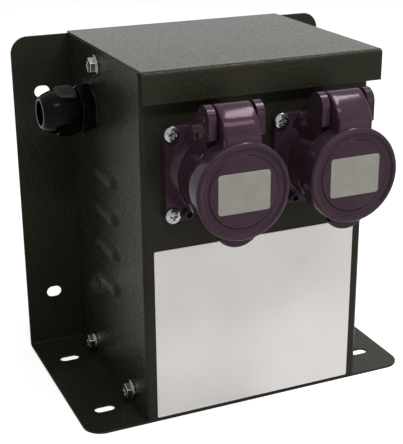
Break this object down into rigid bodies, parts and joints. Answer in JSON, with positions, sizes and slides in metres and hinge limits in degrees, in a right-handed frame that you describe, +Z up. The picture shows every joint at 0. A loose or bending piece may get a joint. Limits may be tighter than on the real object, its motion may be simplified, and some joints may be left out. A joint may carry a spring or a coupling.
{
  "type": "site transformer",
  "caption": "Folded steel case on an L-shaped slotted chassis, with sprung-flap panel sockets in front, a side cable gland, louvres, and a laminated core with coils inside.",
  "frame": {"origin": "centre of the base plate's underside, between the side walls and midway from the front panel's face to the back plate's rear face", "axes": "+Z up, -Y out of the front panel with the sockets, +X towards the wall without the gland"},
  "size_m": [0.24, 0.195, 0.237],
  "materials": {
    "powder_coat": "fine-textured powder coat, olive bronze grey",
    "zinc_steel": "bright zinc plating",
    "purple_plastic": "moulded, semi-gloss",
    "carrier_plastic": "moulded, dark",
    "black_nylon": "moulded nylon, satin",
    "rubber": "matte",
    "label_film": "satin silver film, bare",
    "cream_plate": "satin, bare",
    "brass": "turned",
    "core_steel": "stacked laminations, dark varnish",
    "bobbin_plastic": "moulded",
    "copper_wire": "enamelled copper wire",
    "paper": "varnished insulating paper",
    "wrap_tape": "yellow tape",
    "block_plastic": "moulded",
    "brown_lead": "wire insulation",
    "black_lead": "wire insulation",
    "green_lead": "wire insulation"
  },
  "bodies": {
    "case": {"chassis": "powder_coat", "case_wrap": "powder_coat", "lid": "powder_coat", "front_label": "label_film", "case_bolts": "zinc_steel", "weld_nuts": "zinc_steel", "side_rivet": "powder_coat", "lead_clip": "black_nylon", "gland_washer": "rubber", "gland_body": "black_nylon", "gland_locknut": "black_nylon", "gland_seal": "rubber", "gland_cap": "black_nylon", "socket_screws": "zinc_steel", "socket_nuts": "zinc_steel", "core": "core_steel", "bobbin": "bobbin_plastic", "primary_winding": "copper_wire", "winding_paper": "paper", "secondary_winding": "copper_wire", "coil_wrap": "wrap_tape", "front_bracket": "zinc_steel", "rear_bracket": "zinc_steel", "rear_clamp_bar": "zinc_steel", "terminal_bracket": "zinc_steel", "core_bolts": "zinc_steel", "foot_studs": "zinc_steel", "foot_nuts": "zinc_steel", "thermal_cutout": "black_nylon", "terminal_block": "block_plastic", "terminal_screws": "zinc_steel", "earth_stud": "zinc_steel", "earth_nut": "zinc_steel", "earth_tag": "zinc_steel", "primary_leads": "brown_lead", "secondary_leads": "black_lead", "socket_leads": "black_lead", "earth_lead": "green_lead", "left_gasket": "rubber", "left_socket": "purple_plastic", "left_sleeve": "purple_plastic", "left_carrier": "carrier_plastic", "left_contacts": "brass", "left_hinge_pin": "zinc_steel", "right_gasket": "rubber", "right_socket": "purple_plastic", "right_sleeve": "purple_plastic", "right_carrier": "carrier_plastic", "right_contacts": "brass", "right_hinge_pin": "zinc_steel"},
    "left_flap_unit": {"left_flap": "purple_plastic", "left_flap_seal": "rubber", "left_flap_plate": "cream_plate", "left_spring": "zinc_steel"},
    "right_flap_unit": {"right_flap": "purple_plastic", "right_flap_seal": "rubber", "right_flap_plate": "cream_plate", "right_spring": "zinc_steel"}
  },
  "joints": [
    {"name": "left_flap_hinge", "type": "hinge", "parent": "case", "child": "left_flap_unit", "pos_m": [-0.035, -0.1055, 0.2135], "axis": [-1, 0, 0], "range_deg": [0, 105], "stiffness_Nm_per_rad": 0.04, "springref_deg": -34.38},
    {"name": "right_flap_hinge", "type": "hinge", "parent": "case", "child": "right_flap_unit", "pos_m": [0.039, -0.1055, 0.2135], "axis": [-1, 0, 0], "range_deg": [0, 105], "stiffness_Nm_per_rad": 0.04, "springref_deg": -34.38}
  ]
}
